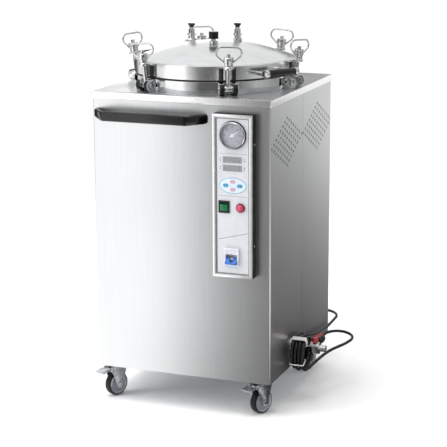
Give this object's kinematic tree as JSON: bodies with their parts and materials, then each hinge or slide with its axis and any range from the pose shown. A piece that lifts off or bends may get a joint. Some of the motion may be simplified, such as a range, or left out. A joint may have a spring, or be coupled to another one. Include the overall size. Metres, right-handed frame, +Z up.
{
  "type": "vertical steam autoclave on casters",
  "caption": "Upright steel cabinet on swivel casters round a steam vessel, with a domed lid held by swing bolts and loop nuts, a control panel, push handle, drain valve and power lead.",
  "frame": {"origin": "on the floor, under the middle of the outline, measured without the power lead and its gland", "axes": "+Z up, the control panel faces -Y, the drain valve is on the +X side"},
  "size_m": [0.7267, 0.7384, 1.1393],
  "materials": {
    "brushed_steel": "brushed stainless sheet",
    "polished_steel": "mirror-polished stainless steel",
    "vessel_steel": "satin stainless steel",
    "zinc": "bright zinc plate",
    "seal": "matt silicone rubber",
    "black_plastic": "satin black plastic",
    "tyre": "smooth tyre",
    "panel_white": "printed film, left bare",
    "panel_grey": "satin paint",
    "display": "tinted window",
    "keypad": "membrane film",
    "green": "clear green plastic",
    "red": "clear red plastic",
    "breaker_grey": "moulded plastic",
    "blue": "moulded plastic",
    "glass": "clear flat glass",
    "red_paint": "dipped vinyl over steel",
    "cord": "black sheath"
  },
  "bodies": {
    "cabinet": {"base_frame": "zinc", "front_casing": "brushed_steel", "rear_casing": "brushed_steel", "deck": "brushed_steel", "push_handle": "panel_grey", "drain_valve": "polished_steel", "vessel": "vessel_steel", "vessel_ring": "polished_steel", "seal_ring": "seal", "heater": "vessel_steel", "basket_grid": "vessel_steel", "basket": "vessel_steel", "closure_pins": "polished_steel", "panel_box": "panel_grey", "panel_fascia": "panel_white", "gauge_case": "polished_steel", "gauge_glass": "glass", "display_windows": "display", "keypad": "keypad", "switch_frame": "black_plastic", "pilot_lamp": "red", "breaker_body": "breaker_grey", "cord_gland": "cord", "power_cord": "cord", "cord_coil": "cord", "cord_tail": "cord", "plug": "cord"},
    "lid_body": {"lid": "polished_steel", "lid_brackets": "polished_steel", "lid_grips": "black_plastic", "lid_valves": "polished_steel"},
    "valve_pull_left": {"valve_pull_left": "black_plastic"},
    "valve_pull_right": {"valve_pull_right": "black_plastic"},
    "bleed_knob": {"bleed_knob": "black_plastic"},
    "switch_rocker": {"switch_rocker": "green"},
    "breaker_lever": {"breaker_lever": "blue"},
    "gauge_needle": {"gauge_needle": "black_plastic"},
    "drain_lever": {"drain_lever": "red_paint"},
    "swing_bolt_a": {"swing_bolt_a": "polished_steel"},
    "loop_nut_a": {"loop_nut_a": "polished_steel"},
    "swing_bolt_b": {"swing_bolt_b": "polished_steel"},
    "loop_nut_b": {"loop_nut_b": "polished_steel"},
    "swing_bolt_c": {"swing_bolt_c": "polished_steel"},
    "loop_nut_c": {"loop_nut_c": "polished_steel"},
    "swing_bolt_d": {"swing_bolt_d": "polished_steel"},
    "loop_nut_d": {"loop_nut_d": "polished_steel"},
    "swing_bolt_e": {"swing_bolt_e": "polished_steel"},
    "loop_nut_e": {"loop_nut_e": "polished_steel"},
    "swing_bolt_f": {"swing_bolt_f": "polished_steel"},
    "loop_nut_f": {"loop_nut_f": "polished_steel"},
    "caster_fork_1": {"caster_fork_1": "zinc"},
    "caster_wheel_1": {"caster_wheel_1": "tyre"},
    "brake_pedal_1": {"brake_pedal_1": "zinc"},
    "caster_fork_2": {"caster_fork_2": "zinc"},
    "caster_wheel_2": {"caster_wheel_2": "tyre"},
    "brake_pedal_2": {"brake_pedal_2": "zinc"},
    "caster_fork_3": {"caster_fork_3": "zinc"},
    "caster_wheel_3": {"caster_wheel_3": "tyre"},
    "caster_fork_4": {"caster_fork_4": "zinc"},
    "caster_wheel_4": {"caster_wheel_4": "tyre"}
  },
  "joints": [
    {"name": "lid_lift", "type": "slide", "parent": "cabinet", "child": "lid_body", "axis": [0, 0, 1], "range_m": [0, 0.2]},
    {"name": "bolt_swing_a", "type": "hinge", "parent": "cabinet", "child": "swing_bolt_a", "pos_m": [0.21906, 0.01825, 0.9795], "axis": [0, 1, 0], "range_deg": [-7, 80]},
    {"name": "nut_spin_a", "type": "hinge", "parent": "swing_bolt_a", "child": "loop_nut_a", "pos_m": [0.22638, 0.01825, 1.03905], "axis": [0.1219, 0, 0.9925], "continuous": true},
    {"name": "bolt_swing_b", "type": "hinge", "parent": "cabinet", "child": "swing_bolt_b", "pos_m": [0.08906, 0.24342, 0.9795], "axis": [-0.866, 0.5, 0], "range_deg": [-7, 80]},
    {"name": "nut_spin_b", "type": "hinge", "parent": "swing_bolt_b", "child": "loop_nut_b", "pos_m": [0.09272, 0.24975, 1.03905], "axis": [0.0609, 0.1055, 0.9925], "continuous": true},
    {"name": "bolt_swing_c", "type": "hinge", "parent": "cabinet", "child": "swing_bolt_c", "pos_m": [-0.17094, 0.24342, 0.9795], "axis": [-0.866, -0.5, 0], "range_deg": [-7, 80]},
    {"name": "nut_spin_c", "type": "hinge", "parent": "swing_bolt_c", "child": "loop_nut_c", "pos_m": [-0.17459, 0.24975, 1.03905], "axis": [-0.0609, 0.1055, 0.9925], "continuous": true},
    {"name": "bolt_swing_d", "type": "hinge", "parent": "cabinet", "child": "swing_bolt_d", "pos_m": [-0.30094, 0.01825, 0.9795], "axis": [0, -1, 0], "range_deg": [-7, 80]},
    {"name": "nut_spin_d", "type": "hinge", "parent": "swing_bolt_d", "child": "loop_nut_d", "pos_m": [-0.30825, 0.01825, 1.03905], "axis": [-0.1219, 0, 0.9925], "continuous": true},
    {"name": "bolt_swing_e", "type": "hinge", "parent": "cabinet", "child": "swing_bolt_e", "pos_m": [-0.17094, -0.20692, 0.9795], "axis": [0.866, -0.5, 0], "range_deg": [-7, 80]},
    {"name": "nut_spin_e", "type": "hinge", "parent": "swing_bolt_e", "child": "loop_nut_e", "pos_m": [-0.17459, -0.21325, 1.03905], "axis": [-0.0609, -0.1055, 0.9925], "continuous": true},
    {"name": "bolt_swing_f", "type": "hinge", "parent": "cabinet", "child": "swing_bolt_f", "pos_m": [0.08906, -0.20692, 0.9795], "axis": [0.866, 0.5, 0], "range_deg": [-7, 80]},
    {"name": "nut_spin_f", "type": "hinge", "parent": "swing_bolt_f", "child": "loop_nut_f", "pos_m": [0.09272, -0.21325, 1.03905], "axis": [0.0609, -0.1055, 0.9925], "continuous": true},
    {"name": "swivel_1", "type": "hinge", "parent": "cabinet", "child": "caster_fork_1", "pos_m": [-0.28094, -0.18975, 0.0968], "axis": [0, 0, 1], "continuous": true},
    {"name": "wheel_1", "type": "hinge", "parent": "caster_fork_1", "child": "caster_wheel_1", "pos_m": [-0.28854, -0.20606, 0.0375], "axis": [0.9063, -0.4226, 0], "continuous": true},
    {"name": "pedal_1", "type": "hinge", "parent": "caster_fork_1", "child": "brake_pedal_1", "pos_m": [-0.30038, -0.23144, 0.0888], "axis": [0.9063, -0.4226, 0], "range_deg": [0, 12]},
    {"name": "swivel_2", "type": "hinge", "parent": "cabinet", "child": "caster_fork_2", "pos_m": [0.19906, -0.18975, 0.0968], "axis": [0, 0, 1], "continuous": true},
    {"name": "wheel_2", "type": "hinge", "parent": "caster_fork_2", "child": "caster_wheel_2", "pos_m": [0.19146, -0.20606, 0.0375], "axis": [0.9063, -0.4226, 0], "continuous": true},
    {"name": "pedal_2", "type": "hinge", "parent": "caster_fork_2", "child": "brake_pedal_2", "pos_m": [0.17962, -0.23144, 0.0888], "axis": [0.9063, -0.4226, 0], "range_deg": [0, 12]},
    {"name": "swivel_3", "type": "hinge", "parent": "cabinet", "child": "caster_fork_3", "pos_m": [0.19906, 0.24625, 0.0968], "axis": [0, 0, 1], "continuous": true},
    {"name": "wheel_3", "type": "hinge", "parent": "caster_fork_3", "child": "caster_wheel_3", "pos_m": [0.19146, 0.22994, 0.0375], "axis": [0.9063, -0.4226, 0], "continuous": true},
    {"name": "swivel_4", "type": "hinge", "parent": "cabinet", "child": "caster_fork_4", "pos_m": [-0.28094, 0.24625, 0.0968], "axis": [0, 0, 1], "continuous": true},
    {"name": "wheel_4", "type": "hinge", "parent": "caster_fork_4", "child": "caster_wheel_4", "pos_m": [-0.28854, 0.22994, 0.0375], "axis": [0.9063, -0.4226, 0], "continuous": true},
    {"name": "pull_left", "type": "slide", "parent": "lid_body", "child": "valve_pull_left", "axis": [0, 0, 1], "range_m": [0, 0.004], "stiffness_N_per_m": 800},
    {"name": "pull_right", "type": "slide", "parent": "lid_body", "child": "valve_pull_right", "axis": [0, 0, 1], "range_m": [0, 0.004], "stiffness_N_per_m": 800},
    {"name": "bleed_turn", "type": "hinge", "parent": "lid_body", "child": "bleed_knob", "pos_m": [-0.02294, -0.03375, 1.0933], "axis": [0, 0, 1], "range_deg": [0, 180]},
    {"name": "rocker", "type": "hinge", "parent": "cabinet", "child": "switch_rocker", "pos_m": [0.10606, -0.27675, 0.6485], "axis": [1, 0, 0], "range_deg": [-18, 0]},
    {"name": "breaker_throw", "type": "hinge", "parent": "cabinet", "child": "breaker_lever", "pos_m": [0.12956, -0.28675, 0.4935], "axis": [1, 0, 0], "range_deg": [-80, 0]},
    {"name": "needle", "type": "hinge", "parent": "cabinet", "child": "gauge_needle", "pos_m": [0.13306, -0.29095, 0.86], "axis": [0, 1, 0], "range_deg": [-190, 80]},
    {"name": "drain_turn", "type": "hinge", "parent": "cabinet", "child": "drain_lever", "pos_m": [0.31506, -0.06175, 0.175], "axis": [0, 0, 1], "range_deg": [-90, 0]}
  ]
}
